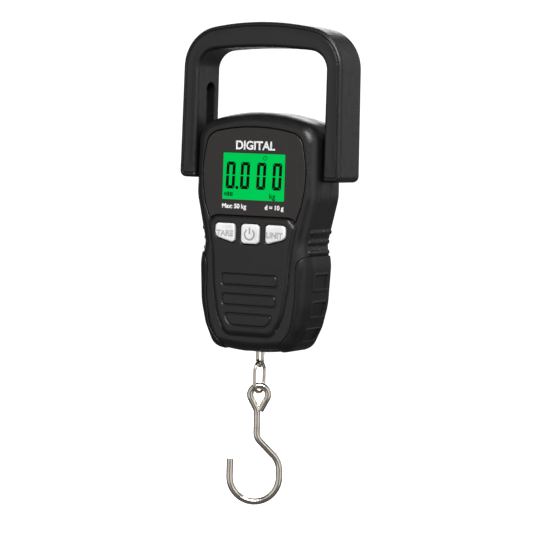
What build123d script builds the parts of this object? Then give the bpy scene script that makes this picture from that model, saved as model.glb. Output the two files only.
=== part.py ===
"""Digital fish scale: a hanging scale whose case slides in a U-shaped handle, with a chain and a hook.

Millimetres. +Z is up, the display faces -Y and +X is to the reader's right. The origin is on the handle's
centre line at mid depth, 12.5 below the top of the grip bar.
"""

from build123d import *
import os
from math import cos, radians, sin

os.makedirs("parts", exist_ok=True)

# Handle
grip_top = 12.5
grip_underside = -1.5
grip_crown_end = 5.0
grip_arch_end = -4.2
handle_half_width = 49.5
foot_half_width = 50.6
finger_half_width = 40.0
handle_half_depth = 13.0
leg_bottom = -75.0
grip_corner_radius = 23.0
finger_corner_radius = 11.0
leg_corner_radius = 3.0
handle_edge_radius = 1.8
slot_width = 9.6
slot_floor = 45.4
slot_top = -21.5
slot_bottom = -70.7
slot_y = 2.3

# Case
case_half_depth = 17.9
case_wall = 2.2
case_edge_radius = 6.0
case_top = -37.4
case_bottom = -171.6
# right side of the case from its shoulder to its toe: X, Z and corner radius
case_side = (
    (37.8, -45.5, 13.0),
    (38.6, -84.0, 24.0),
    (32.6, -110.0, 12.0),
    (34.4, -122.0, 24.0),
    (33.2, -144.0, 40.0),
    (29.0, -160.0, 24.0),
    (24.6, -170.8, 7.0),
)
rib_heights = (-103.5, -108.6, -114.2)
rib_size = 2.6
rib_proud = 0.9
rib_depth = 24.0
rib_centre, rib_reach = 35.0, 14.0
chain_hole_radius = 8.0

# Soft side grips
grip_sink = 1.5
grip_proud = 0.6
grip_corner = 8.0
grip_zone_side = (
    (27.8, -116.0),
    (45.0, -116.0),
    (45.0, -175.0),
    (17.8, -175.0),
    (17.8, -167.0),
    (25.4, -158.5),
    (27.8, -140.0),
)
# square pockets down each grip: X and Z of the cutter's middle, height and lean
grip_pads = ((35.7, -130.8, 9.0, 3.0), (34.2, -146.3, 8.6, 11.0), (30.5, -160.8, 7.2, 18.0))
grip_pad_depth = 17.0
grip_pad_cutter = 4.0

# Raised plate below the window, with the keys and three finger grooves
tongue_face = 19.7
tongue_edge_radius = 1.2
tongue_wall = 2.4
# right side of the plate from top to bottom: X, Z and corner radius
tongue_side = (
    (26.8, -94.0, 0),
    (27.2, -100.2, 4.0),
    (24.2, -117.0, 20.0),
    (23.2, -134.0, 30.0),
    (20.2, -151.0, 16.0),
    (14.6, -161.3, 5.0),
)
groove_depth = 0.8
groove_width = 0.8
# each groove's outline: top, bottom, half width at the top and at the bottom, and their corner radii
finger_grooves = (
    (-127.7, -134.0, 17.2, 17.2, 1.6, 1.6),
    (-138.9, -145.0, 17.0, 16.4, 1.6, 1.6),
    (-149.8, -156.4, 14.9, 12.5, 1.2, 6.0),
)

# Window, display and circuit board
window_thickness = 1.6
window_gap = 0.2
window_top = -46.0
# right side of the window from its shoulder to the plate's top edge: X, Z and corner radius
window_side = (
    (29.1, -50.0, 9.0),
    (33.2, -72.0, 60.0),
    (29.8, -89.5, 20.0),
    (26.6, -97.8, 0.8),
    (23.6, -95.2, 3.0),
)
ledge_margin = 1.2
ledge_back = 14.6
glass_half_width = 21.5
glass_top, glass_bottom = -58.6, -89.0
glass_front, glass_back = 16.0, 14.0
backlight_front, backlight_back = 13.85, 11.55
backlight_width = 42.0
zebra_front, zebra_back = 13.95, 11.25
zebra_height = 1.6
frame_margin, frame_corner = 2.5, 1.5
board_front, board_back = 11.2, 9.8
board_half_width = 25.2
board_top, board_bottom = -56.0, -118.2

# Keys
key_top, key_bottom = -99.6, -110.5
key_z = (key_top + key_bottom) / 2
outer_key_x = 15.85
outer_key_width = 12.2
power_key_width = 11.2
outer_key_cut = 3.4
outer_key_corner, power_key_corner = 1.8, 2.2
key_edge_radius = 0.7
key_face = 20.7
key_seat = 17.5
key_gap = 0.25
key_flange = 0.9
key_back = 16.3
plunger_radius = 1.7
plunger_back = 13.3
switch_size, switch_height, switch_floor = 6.0, 3.5, 0.9
chip_z, chip_radius, chip_height = -78.0, 7.0, 1.2

# Load path
chain_y = -3.7
stud_z = -64.3
stud_radius = 4.0
stud_root, stud_bore_depth = 26.0, 8.0
shoe_length = 12.4
shoe_width = 9.4
shoe_inner, shoe_outer = 38.9, 45.1
cell_half_width = 11.0
cell_front, cell_back = -7.7, 0.3
cell_top, cell_bottom = -57.3, -132.0
cell_corner = 1.5
cell_hole_heights, cell_hole_radius = (-88.5, -101.5), 5.0
cell_hole_web, cell_hole_gap = 3.0, 8.0
cell_slits, cell_slit_x, cell_slit_height = ((-1, -77.5), (1, -112.5)), 3.0, 1.6
gauge_thickness, gauge_depth, gauge_height = 0.2, 4.0, 7.0
yoke_thickness = 4.0
yoke_length, yoke_height, yoke_corner = 56.0, 12.0, 2.0
eye_wire_radius = 1.5
eye_ring_radius = 4.0
eye_wire_z = -165.2
joint_gap = 0.1

# Chain and hook
link_wire_radius = 1.0
link_width = 9.0
link_pitch = 14.9
hook_wire_radius = 1.9
hook_angle = 28.0
lower_link_angle = 82.0
upper_link_angle = -43.5
eye_bolt_angle = upper_link_angle + 90
nut_flat_radius, nut_height = 5.0, 4.0
# the hook's bend points from its tip up, across and up in the hook's plane, with their radii
hook_tip = (-15.1, -232.2)
bowl_left, bowl_right, bowl_bottom = -15.1, 12.75, -256.35
bowl_radius = 13.9
throat, throat_radius = (12.75, -233.4), 13.0
shank_foot, shank_radius = (-0.6, -220.2), 7.0
neck_drop = 15.9
neck_turn, neck_radius, neck_run = 28.0, 9.0, 5.57
eye_bend = 5.0
eye_end_run = 7.6

# Batteries
aaa_radius = 5.25
aaa_body, aaa_nub = 43.3, 1.2
aaa_nub_radius, aaa_edge = 1.9, 0.5
contact_depth, contact_height, contact_bridge = 8.0, 8.5, 21.0
contact_gap = 0.1
spring_radius, spring_pitch = 2.8, 1.1
spring_gap = 0.3
door_corner = 2.2
door_notch_width, door_notch_height, door_notch_depth = 14.0, 5.0, 0.8
door_notch_drop = 5.0
case_head_height = 1.8
battery_y = 9.0
battery_heights = (-127.4, -139.8)
tray_half_width = 24.8
tray_top, tray_bottom = -121.2, -146.0
tray_floor = 3.2
tray_wall = 1.4
door_half_width = 25.1
door_top, door_bottom = -119.3, -147.9
door_gap = 0.3
door_inner = 15.75
contact_thickness = 0.4
spring_wire = 0.25

# Screws
case_screw_places = ((-28.5, -52.5), (28.5, -52.5), (-20.5, -158.0), (20.5, -158.0))
upper_board_screws = ((-22.5, -95.0), (22.5, -95.0))
lower_board_screws = ((-20.0, -115.2), (20.0, -115.2))
board_screw_places = upper_board_screws + lower_board_screws
case_screw_radius, case_head_radius = 1.3, 2.5
case_boss_radius = 3.3
case_screw_seat, case_screw_reach = 8.0, 9.0
board_screw_radius, board_head_radius = 1.0, 1.9
board_boss_radius = 2.3
board_screw_reach = 3.5
cell_screw_places = ((-6.0, stud_z), (6.0, stud_z))
cell_screw_radius = 2.0
shoe_screw_radius, shoe_head_radius = 2.0, 3.5
shoe_screw_seat = 42.6
shoe_head_height = 2.2
stud_end = 40.4
bolt_radius = 3.0
bolt_grip = 9.0
fit_gap = 0.05


def finish(part, name):
    """Label a finished piece and write it."""
    part.label = name
    export_step(part, f"parts/{name}.step")


def upright(angle, height=0.0):
    """Vertical plane through the chain's line, turned about it, whose local Y is up."""
    turn = radians(angle)
    return Plane(
        origin=(0, chain_y, height),
        x_dir=(cos(turn), sin(turn), 0),
        z_dir=(sin(turn), -cos(turn), 0),
    )


# ---------------------------------------------------------------- handle


def handle_outline():
    """U shape of the handle, seen from the front."""
    with BuildSketch() as outline:
        with BuildLine():
            ThreePointArc(
                (-handle_half_width, grip_crown_end), (0, grip_top), (handle_half_width, grip_crown_end)
            )
            Polyline(
                (handle_half_width, grip_crown_end),
                (foot_half_width, leg_bottom),
                (finger_half_width, leg_bottom),
                (finger_half_width, grip_arch_end),
            )
            ThreePointArc(
                (finger_half_width, grip_arch_end), (0, grip_underside), (-finger_half_width, grip_arch_end)
            )
            Polyline(
                (-finger_half_width, grip_arch_end),
                (-finger_half_width, leg_bottom),
                (-foot_half_width, leg_bottom),
                (-handle_half_width, grip_crown_end),
            )
        make_face()
        for height, radius in (
            (grip_crown_end, grip_corner_radius),
            (grip_arch_end, finger_corner_radius),
            (leg_bottom, leg_corner_radius),
        ):
            fillet(outline.vertices().filter_by_position(Axis.Y, height - 0.1, height + 0.1), radius)
    return outline.sketch


with BuildPart() as handle:
    with BuildSketch(Plane.XZ.offset(handle_half_depth)):
        add(handle_outline())
    extrude(amount=-2 * handle_half_depth)
    fillet(handle.faces().filter_by(Axis.Y).edges(), handle_edge_radius)
    for side in (-1, 1):
        with BuildSketch(Plane.YZ.offset(side * finger_half_width)):
            with Locations((slot_y, (slot_top + slot_bottom) / 2)):
                SlotOverall(slot_top - slot_bottom, slot_width, rotation=90)
        extrude(amount=side * (slot_floor - finger_half_width), mode=Mode.SUBTRACT)
finish(handle.part, "handle")


# ---------------------------------------------------------------- case


def two_sided(side, top=None, bottom=None):
    """Outline of this right side and its mirror, closed by lines or by arcs through top and bottom."""
    right = [(x, z) for x, z, _ in side]
    left = [(-x, z) for x, z in right]
    with BuildSketch() as outline:
        with BuildLine():
            Polyline(*right)
            Polyline(*left)
            for start, middle, end in ((left[0], top, right[0]), (left[-1], bottom, right[-1])):
                if middle is None:
                    Line(start, end)
                else:
                    ThreePointArc(start, (0, middle), end)
        make_face()
        for _, z, radius in side:
            if radius:
                fillet(outline.vertices().filter_by_position(Axis.Y, z - 0.1, z + 0.1), radius)
    return outline.sketch


def grown(outline, amount):
    """Outline moved out by amount all round, or in where it is negative."""
    with BuildSketch() as moved:
        add(outline)
        if amount:
            offset(amount=amount)
    return moved.sketch


def case_outline(inset):
    """Front outline of the case, smaller by inset all round."""
    return grown(two_sided(case_side, case_top, case_bottom), -inset)


def case_block(inset):
    """Solid shape of the whole case, smaller by inset on every face."""
    with BuildPart() as block:
        with BuildSketch(Plane.XZ.offset(case_half_depth - inset)):
            add(case_outline(inset))
        extrude(amount=-2 * (case_half_depth - inset))
        fillet(block.faces().filter_by(Axis.Y).edges(), case_edge_radius - inset)
    return block.part


def tongue_outline(inset):
    """Outline of the raised plate below the window."""
    return grown(two_sided(tongue_side), -inset)


def window_outline(grow):
    """Outline of the window, with round shoulders and two feet that wrap the raised plate's corners."""
    return grown(two_sided(window_side, window_top), grow)


def groove_ring(top, bottom, top_half, bottom_half, top_radius, bottom_radius):
    """Thin closed line of one finger groove."""
    groove = two_sided(((top_half, top, top_radius), (bottom_half, bottom, bottom_radius)))
    with BuildSketch() as ring:
        add(grown(groove, groove_width / 2))
        add(grown(groove, -groove_width / 2), mode=Mode.SUBTRACT)
    return ring.sketch


def key_outlines(grow):
    """The three keys: the outer two have their lower outer corner cut back."""
    half_height = (key_top - key_bottom) / 2
    with BuildSketch() as outline:
        with Locations((0, key_z)):
            RectangleRounded(power_key_width + 2 * grow, 2 * (half_height + grow), power_key_corner + grow)
        with BuildLine():
            inner = outer_key_x - outer_key_width / 2 - grow
            outer = outer_key_x + outer_key_width / 2 + grow
            Polyline(
                (inner, key_top + grow),
                (outer, key_top + grow),
                (outer, key_bottom + outer_key_cut - grow),
                (inner, key_bottom - grow),
                close=True,
            )
        make_face()
        with BuildLine():
            Polyline(
                (-inner, key_top + grow),
                (-outer, key_top + grow),
                (-outer, key_bottom + outer_key_cut - grow),
                (-inner, key_bottom - grow),
                close=True,
            )
        make_face()
        for low, high in ((inner, outer), (-outer, -inner)):
            corners = outline.vertices().filter_by_position(Axis.X, low - 0.1, high + 0.1)
            fillet(corners, outer_key_corner + grow)
    return outline.sketch


def grip_zone(grow):
    """Seen from the front, the two lower side areas that the soft grips cover."""
    (front_edge, grip_top_z), (side_edge, _), *lower = grip_zone_side
    with BuildSketch() as zone:
        with BuildLine():
            Polyline(
                (front_edge - grow, grip_top_z + grow),
                (side_edge, grip_top_z + grow),
                lower[0],
                *[(x - grow, z) for x, z in lower[1:]],
                close=True,
            )
        make_face()
        corner = zone.vertices().filter_by_position(Axis.X, 0, front_edge + 0.1).sort_by(Axis.Y)[-1]
        fillet(corner, grip_corner + grow)
        mirror(about=Plane.YZ)
    return zone.sketch


with BuildPart() as rib_bands:
    for rib_height in rib_heights:
        for side in (-1, 1):
            with Locations((side * rib_centre, 0, rib_height)):
                Box(rib_reach, rib_depth, rib_size)
with BuildPart() as ribs:
    add(case_block(-rib_proud))
    add(rib_bands.part, mode=Mode.INTERSECT)

with BuildPart() as grip_space:
    with BuildSketch(Plane.XZ.offset(2 * handle_half_depth)):
        add(grip_zone(0))
    extrude(amount=-4 * handle_half_depth)
    add(case_block(grip_sink), mode=Mode.SUBTRACT)

with BuildPart() as grip_lining:
    with BuildSketch(Plane.XZ.offset(2 * handle_half_depth)):
        add(grip_zone(grip_sink))
    extrude(amount=-4 * handle_half_depth)
    add(case_block(grip_sink), mode=Mode.INTERSECT)
    add(case_block(case_wall + grip_sink / 2), mode=Mode.SUBTRACT)

with BuildPart() as shell:
    add(case_block(0))
    add(ribs.part)
    add(case_block(case_wall), mode=Mode.SUBTRACT)
    add(grip_lining.part)
    add(grip_space.part, mode=Mode.SUBTRACT)
    with Locations((0, slot_y, stud_z)):
        Cylinder(stud_radius + 0.4, 2 * shoe_inner, rotation=(0, 90, 0), mode=Mode.SUBTRACT)
    with Locations((0, chain_y, case_bottom)):
        Cylinder(chain_hole_radius, 4 * case_wall, mode=Mode.SUBTRACT)

with BuildPart() as front_case:
    add(shell.part)
    split(bisect_by=Plane.XZ, keep=Keep.TOP)
    # ledge behind the window
    with BuildSketch(Plane.XZ.offset(ledge_back)):
        add(window_outline(ledge_margin))
    extrude(amount=case_half_depth - ledge_back - 0.5)
    with BuildSketch(Plane.XZ.offset(case_half_depth - window_thickness - 0.1)):
        add(window_outline(window_gap))
    extrude(amount=case_half_depth, mode=Mode.SUBTRACT)
    # raised plate, hollow behind
    with BuildSketch(Plane.XZ.offset(case_half_depth - case_wall)):
        add(tongue_outline(0))
    extrude(amount=tongue_face - case_half_depth + case_wall)
    fillet(front_case.faces().sort_by(Axis.Y)[0].edges(), tongue_edge_radius)
    with BuildSketch(Plane.XZ.offset(case_half_depth - case_wall - 1)):
        add(tongue_outline(tongue_wall))
    extrude(amount=key_seat - case_half_depth + case_wall + 1, mode=Mode.SUBTRACT)
    with BuildSketch(Plane.XZ.offset(case_half_depth - window_thickness - 0.1)):
        add(window_outline(window_gap))
    extrude(amount=case_half_depth, mode=Mode.SUBTRACT)
    # display opening and key openings
    with BuildSketch(Plane.XZ.offset(ledge_back - 1)):
        with Locations((0, (glass_top + glass_bottom) / 2)):
            Rectangle(2 * glass_half_width + 0.8, glass_top - glass_bottom + 0.8)
    extrude(amount=case_half_depth, mode=Mode.SUBTRACT)
    with BuildSketch(Plane.XZ.offset(ledge_back - 1)):
        add(key_outlines(key_gap))
    extrude(amount=case_half_depth, mode=Mode.SUBTRACT)
    # three finger grooves
    with BuildSketch(Plane.XZ.offset(tongue_face - groove_depth)):
        for groove in finger_grooves:
            add(groove_ring(*groove))
    extrude(amount=2 * groove_depth, mode=Mode.SUBTRACT)
    # screw bosses
    with BuildSketch(Plane.XZ):
        with Locations(*case_screw_places):
            Circle(case_boss_radius)
    extrude(amount=case_half_depth - case_wall)
    with BuildSketch(Plane.XZ):
        with Locations(*case_screw_places):
            Circle(case_screw_radius + fit_gap)
    extrude(amount=case_screw_reach + 0.5, mode=Mode.SUBTRACT)
    for places, boss_end in ((upper_board_screws, ledge_back), (lower_board_screws, key_seat)):
        with BuildSketch(Plane.XZ.offset(board_front + fit_gap)):
            with Locations(*places):
                Circle(board_boss_radius)
        extrude(amount=boss_end - board_front)
    with BuildSketch(Plane.XZ.offset(board_front)):
        with Locations(*board_screw_places):
            Circle(board_screw_radius + fit_gap)
    extrude(amount=board_screw_reach, mode=Mode.SUBTRACT)
finish(front_case.part, "front_case")

with BuildPart() as rear_case:
    add(shell.part)
    split(bisect_by=Plane.XZ, keep=Keep.BOTTOM)
    # battery tray, open to the back
    tray_height = tray_top - tray_bottom
    tray_z = (tray_top + tray_bottom) / 2
    with BuildSketch(Plane.XZ.offset(-(tray_floor - tray_wall))):
        with Locations((0, tray_z)):
            RectangleRounded(2 * (tray_half_width + tray_wall), tray_height + 2 * tray_wall, 2)
    extrude(amount=-(case_half_depth - case_wall + tray_wall - tray_floor))
    with BuildSketch(Plane.XZ.offset(-tray_floor)):
        with Locations((0, tray_z)):
            Rectangle(2 * tray_half_width, tray_height)
    extrude(amount=-case_half_depth, mode=Mode.SUBTRACT)
    with BuildSketch(Plane.XZ.offset(-(door_inner - fit_gap))):
        with Locations((0, (door_top + door_bottom) / 2)):
            RectangleRounded(2 * (door_half_width + door_gap), door_top - door_bottom + 2 * door_gap, 2.5)
    extrude(amount=-case_half_depth, mode=Mode.SUBTRACT)
    # screw columns, counterbored from the back
    with BuildSketch(Plane.XZ):
        with Locations(*case_screw_places):
            Circle(case_boss_radius)
    extrude(amount=-(case_half_depth - case_wall))
    with BuildSketch(Plane.XZ):
        with Locations(*case_screw_places):
            Circle(case_screw_radius + 0.2)
    extrude(amount=-case_half_depth, mode=Mode.SUBTRACT)
    with BuildSketch(Plane.XZ.offset(-case_screw_seat)):
        with Locations(*case_screw_places):
            Circle(case_head_radius + 0.2)
    extrude(amount=-case_half_depth, mode=Mode.SUBTRACT)
finish(rear_case.part, "rear_case")

for name, side in (("side_grip_left", -1), ("side_grip_right", 1)):
    with BuildPart() as side_grip:
        with BuildSketch(Plane.XZ.offset(2 * handle_half_depth)):
            add(grip_zone(-fit_gap))
        extrude(amount=-4 * handle_half_depth)
        add(case_block(-grip_proud), mode=Mode.INTERSECT)
        add(case_block(grip_sink - fit_gap), mode=Mode.SUBTRACT)
        with Locations((-side * handle_half_width, 0, case_bottom)):
            Box(2 * handle_half_width, 4 * handle_half_depth, -2 * case_bottom, mode=Mode.SUBTRACT)
        for pad_x, pad_z, pad_height, lean in grip_pads:
            with Locations(Location((side * pad_x, 0, pad_z), (0, side * lean, 0))):
                Box(grip_pad_cutter, grip_pad_depth, pad_height, mode=Mode.SUBTRACT)
    finish(side_grip.part, name)


# ---------------------------------------------------------------- window, display and board

with BuildPart() as display_window:
    with BuildSketch(Plane.XZ.offset(case_half_depth - window_thickness)):
        add(window_outline(0))
    extrude(amount=window_thickness)
finish(display_window.part, "display_window")

glass_z = (glass_top + glass_bottom) / 2
glass_height = glass_top - glass_bottom
with BuildPart() as lcd_glass:
    with Locations((0, -(glass_front + glass_back) / 2, glass_z)):
        Box(2 * glass_half_width, glass_front - glass_back, glass_height)
finish(lcd_glass.part, "lcd_glass")

with BuildPart() as backlight:
    with Locations((0, -(backlight_front + backlight_back) / 2, glass_z + 0.75 * zebra_height)):
        Box(backlight_width, backlight_front - backlight_back, glass_height - frame_margin * zebra_height)
finish(backlight.part, "backlight")

with BuildPart() as zebra_strip:
    with Locations((0, -(zebra_front + zebra_back) / 2, glass_bottom + 1)):
        Box(2 * glass_half_width - 3, zebra_front - zebra_back, zebra_height)
finish(zebra_strip.part, "zebra_strip")

with BuildPart() as lcd_frame:
    with BuildSketch(Plane.XZ.offset(board_front + fit_gap)):
        with Locations((0, glass_z)):
            frame_width = 2 * (glass_half_width + frame_margin)
            RectangleRounded(frame_width, glass_height + 1.8 * frame_margin, frame_corner)
            Rectangle(2 * glass_half_width + 0.5, glass_height + 0.5, mode=Mode.SUBTRACT)
    extrude(amount=ledge_back - board_front - 2 * fit_gap)
finish(lcd_frame.part, "lcd_frame")

with BuildPart() as circuit_board:
    with BuildSketch(Plane.XZ.offset(board_back)):
        with Locations((0, (board_top + board_bottom) / 2)):
            RectangleRounded(2 * board_half_width, board_top - board_bottom, 3)
        with Locations(*board_screw_places):
            Circle(board_screw_radius + 0.15, mode=Mode.SUBTRACT)
    extrude(amount=board_front - board_back)
finish(circuit_board.part, "circuit_board")

with BuildPart() as controller_chip:
    with BuildSketch(Plane.XZ.offset(board_back - chip_height)):
        with Locations((0, chip_z)):
            Circle(chip_radius)
    extrude(amount=chip_height)
    fillet(controller_chip.faces().sort_by(Axis.Y)[-1].edges(), 0.8)
finish(controller_chip.part, "controller_chip")

with BuildPart() as board_screws:
    for screw_x, screw_z in board_screw_places:
        with BuildSketch(Plane.XZ.offset(board_back - 1.3)):
            with Locations((screw_x, screw_z)):
                Circle(board_head_radius)
        extrude(amount=1.3 - fit_gap)
        with BuildSketch(Plane.XZ.offset(board_back - 1.3)):
            with Locations((screw_x, screw_z)):
                Circle(board_screw_radius)
        extrude(amount=1.3 + board_front - board_back + board_screw_reach - 0.5)
finish(board_screws.part, "board_screws")

switch_places = ((-outer_key_x, key_z), (0, key_z), (outer_key_x, key_z))
with BuildPart() as tact_switches:
    with BuildSketch(Plane.XZ.offset(board_front)):
        with Locations(*switch_places):
            RectangleRounded(switch_size, switch_size, 0.1 * switch_size)
    extrude(amount=switch_height)
    with BuildSketch(Plane.XZ.offset(board_front + switch_floor)):
        with Locations(*switch_places):
            Circle(plunger_radius + 0.15)
    extrude(amount=switch_height, mode=Mode.SUBTRACT)
finish(tact_switches.part, "tact_switches")

for name, (place_x, place_z) in zip(("plunger_tare", "plunger_power", "plunger_unit"), switch_places):
    with BuildPart() as plunger:
        with BuildSketch(Plane.XZ.offset(plunger_back)):
            with Locations((place_x, place_z)):
                Circle(plunger_radius)
        extrude(amount=key_back - plunger_back)
    finish(plunger.part, name)

with BuildPart() as keys:
    with BuildSketch(Plane.XZ.offset(key_back)):
        add(key_outlines(0))
    extrude(amount=key_face - key_back)
    fillet(keys.faces().group_by(Axis.Y)[0].edges(), key_edge_radius)
    with BuildSketch(Plane.XZ.offset(key_back)):
        add(key_outlines(key_flange))
    extrude(amount=key_seat - 0.2 - key_back)
for name, key in zip(("key_tare", "key_power", "key_unit"), keys.solids().sort_by(Axis.X)):
    finish(Part(key.wrapped), name)


# ---------------------------------------------------------------- load path

yoke_y = cell_back + yoke_thickness / 2
with BuildPart() as load_yoke:
    with BuildSketch(Plane.XZ.offset(-cell_back)):
        with Locations((0, stud_z)):
            RectangleRounded(yoke_length, yoke_height, yoke_corner)
    extrude(amount=-yoke_thickness)
    for side in (-1, 1):
        with BuildSketch(Plane.YZ.offset(side * stud_root)):
            with Locations((yoke_y, stud_z)):
                Circle(stud_radius)
        extrude(amount=side * (stud_end - stud_root))
        with BuildSketch(Plane.YZ.offset(side * stud_end)):
            with Locations((yoke_y, stud_z)):
                Circle(shoe_screw_radius + fit_gap)
        extrude(amount=-side * stud_bore_depth, mode=Mode.SUBTRACT)
    with BuildSketch(Plane.XZ.offset(-cell_back)):
        with Locations(*cell_screw_places):
            Circle(cell_screw_radius + fit_gap)
    extrude(amount=-yoke_thickness, mode=Mode.SUBTRACT)
finish(load_yoke.part, "load_yoke")

with BuildPart() as load_cell:
    with BuildSketch(Plane.XZ.offset(-cell_back)):
        with Locations((0, (cell_top + cell_bottom) / 2)):
            RectangleRounded(2 * cell_half_width, cell_top - cell_bottom, cell_corner)
        with Locations(*[(0, z) for z in cell_hole_heights]):
            Circle(cell_hole_radius, mode=Mode.SUBTRACT)
        with Locations((0, sum(cell_hole_heights) / 2)):
            Rectangle(cell_hole_web, cell_hole_gap, mode=Mode.SUBTRACT)
        with Locations(*[(side * cell_slit_x, z) for side, z in cell_slits]):
            Rectangle(2 * cell_half_width - 2, cell_slit_height, mode=Mode.SUBTRACT)
        with Locations(*cell_screw_places):
            Circle(cell_screw_radius + fit_gap, mode=Mode.SUBTRACT)
    extrude(amount=cell_back - cell_front)
    with Locations((0, chain_y, cell_bottom)):
        Cylinder(bolt_radius + fit_gap, 2 * bolt_grip, mode=Mode.SUBTRACT)
finish(load_cell.part, "load_cell")

with BuildPart() as strain_gauges:
    gauge_x = cell_half_width + fit_gap + gauge_thickness / 2
    for gauge_z in cell_hole_heights:
        for side in (-1, 1):
            with Locations((side * gauge_x, (cell_front + cell_back) / 2, gauge_z)):
                Box(gauge_thickness, gauge_depth, gauge_height)
finish(strain_gauges.part, "strain_gauges")

with BuildPart() as load_cell_screws:
    for screw_x, screw_z in cell_screw_places:
        with BuildSketch(Plane.XZ.offset(-cell_front + fit_gap)):
            with Locations((screw_x, screw_z)):
                Circle(1.9 * cell_screw_radius)
        extrude(amount=0.9)
        with BuildSketch(Plane.XZ.offset(-cell_front + fit_gap)):
            with Locations((screw_x, screw_z)):
                Circle(cell_screw_radius)
        extrude(amount=-(cell_back - cell_front + yoke_thickness))
finish(load_cell_screws.part, "load_cell_screws")

for name, side in (("slide_shoe_left", -1), ("slide_shoe_right", 1)):
    with BuildPart() as slide_shoe:
        with BuildSketch(Plane.YZ.offset(side * shoe_inner)):
            with Locations((slot_y, stud_z)):
                SlotOverall(shoe_length, shoe_width, rotation=90)
        extrude(amount=side * (shoe_outer - shoe_inner))
        with BuildSketch(Plane.YZ.offset(side * shoe_inner)):
            with Locations((slot_y, stud_z)):
                Circle(stud_radius + fit_gap)
        extrude(amount=side * (stud_end + fit_gap - shoe_inner), mode=Mode.SUBTRACT)
        with BuildSketch(Plane.YZ.offset(side * shoe_inner)):
            with Locations((slot_y, stud_z)):
                Circle(shoe_screw_radius + fit_gap)
        extrude(amount=side * (shoe_outer - shoe_inner), mode=Mode.SUBTRACT)
        with BuildSketch(Plane.YZ.offset(side * shoe_screw_seat)):
            with Locations((slot_y, stud_z)):
                Circle(shoe_head_radius + fit_gap)
        extrude(amount=side * (shoe_outer - shoe_screw_seat), mode=Mode.SUBTRACT)
        fillet(slide_shoe.faces().sort_by(Axis.X)[-1 if side > 0 else 0].outer_wire().edges(), 0.5)
    finish(slide_shoe.part, name)

with BuildPart() as shoe_screws:
    for side in (-1, 1):
        with BuildSketch(Plane.YZ.offset(side * (shoe_screw_seat + fit_gap))):
            with Locations((slot_y, stud_z)):
                Circle(shoe_head_radius)
        extrude(amount=side * shoe_head_height)
        with BuildSketch(Plane.YZ.offset(side * (shoe_screw_seat + fit_gap))):
            with Locations((slot_y, stud_z)):
                Circle(shoe_screw_radius)
        extrude(amount=-side * (shoe_screw_seat - stud_end + stud_bore_depth - 0.5))
finish(shoe_screws.part, "shoe_screws")

ring_plane = upright(eye_bolt_angle, eye_wire_z + eye_ring_radius)
with BuildPart() as eye_bolt:
    with BuildSketch(Plane.XY.offset(eye_wire_z + 2 * eye_ring_radius - 0.5)):
        with Locations((0, chain_y)):
            Circle(bolt_radius)
    extrude(amount=cell_bottom + bolt_grip - 0.5 - (eye_wire_z + 2 * eye_ring_radius - 0.5))
    with Locations(ring_plane.location):
        Torus(eye_ring_radius, eye_wire_radius)
finish(eye_bolt.part, "eye_bolt")

with BuildPart() as lock_nut:
    with BuildSketch(Plane.XY.offset(cell_bottom - fit_gap)):
        with Locations((0, chain_y)):
            RegularPolygon(nut_flat_radius, 6, major_radius=False)
            Circle(bolt_radius + fit_gap, mode=Mode.SUBTRACT)
    extrude(amount=-nut_height)
finish(lock_nut.part, "lock_nut")


# ---------------------------------------------------------------- chain and hook


def chain_link(angle, inner_top):
    """One welded link hanging from its inner top, in an upright plane at this angle."""
    bend = link_width / 2
    top = inner_top + link_wire_radius - bend
    bottom = inner_top - link_pitch - link_wire_radius + bend
    plane = upright(angle)
    with BuildPart() as link:
        with BuildLine(plane) as path:
            Line((bend, bottom), (bend, top))
            ThreePointArc((bend, top), (0, top + bend), (-bend, top))
            Line((-bend, top), (-bend, bottom))
            ThreePointArc((-bend, bottom), (0, bottom - bend), (bend, bottom))
        with BuildSketch(Plane(origin=path.line @ 0, z_dir=path.line % 0)):
            Circle(link_wire_radius)
        sweep(path=path.line)
    return link.part


upper_inner_top = eye_wire_z + eye_wire_radius + joint_gap
lower_inner_top = upper_inner_top - link_pitch + joint_gap
hook_inner_top = lower_inner_top - link_pitch + joint_gap
finish(chain_link(upper_link_angle, upper_inner_top), "chain_link_upper")
finish(chain_link(lower_link_angle, lower_inner_top), "chain_link_lower")

neck_foot = (shank_foot[0], hook_inner_top + hook_wire_radius - neck_drop)
with BuildPart() as hook:
    with BuildLine(upright(hook_angle)) as wire:
        bowl = FilletPolyline(
            hook_tip,
            (bowl_left, bowl_bottom),
            (bowl_right, bowl_bottom),
            throat,
            shank_foot,
            neck_foot,
            radius=(bowl_radius, bowl_radius, throat_radius, shank_radius),
        )
        neck = JernArc(neck_foot, (0, 1), neck_radius, neck_turn)
        rise = PolarLine(neck @ 1, neck_run, 90 + neck_turn)
        eye_start = (-sin(radians(neck_turn)), cos(radians(neck_turn)))
        eye = JernArc(rise @ 1, eye_start, eye_bend, -180 - 2 * neck_turn)
    with BuildSketch(Plane(origin=wire.line @ 0, z_dir=wire.line % 0)):
        Circle(hook_wire_radius)
    sweep(path=wire.line)
    # the wire's end closes the eye against the neck
    with BuildSketch(Plane(origin=wire.line @ 1, z_dir=wire.line % 1)):
        Circle(hook_wire_radius)
    extrude(amount=eye_end_run)
finish(hook.part, "hook")


# ---------------------------------------------------------------- batteries

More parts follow.
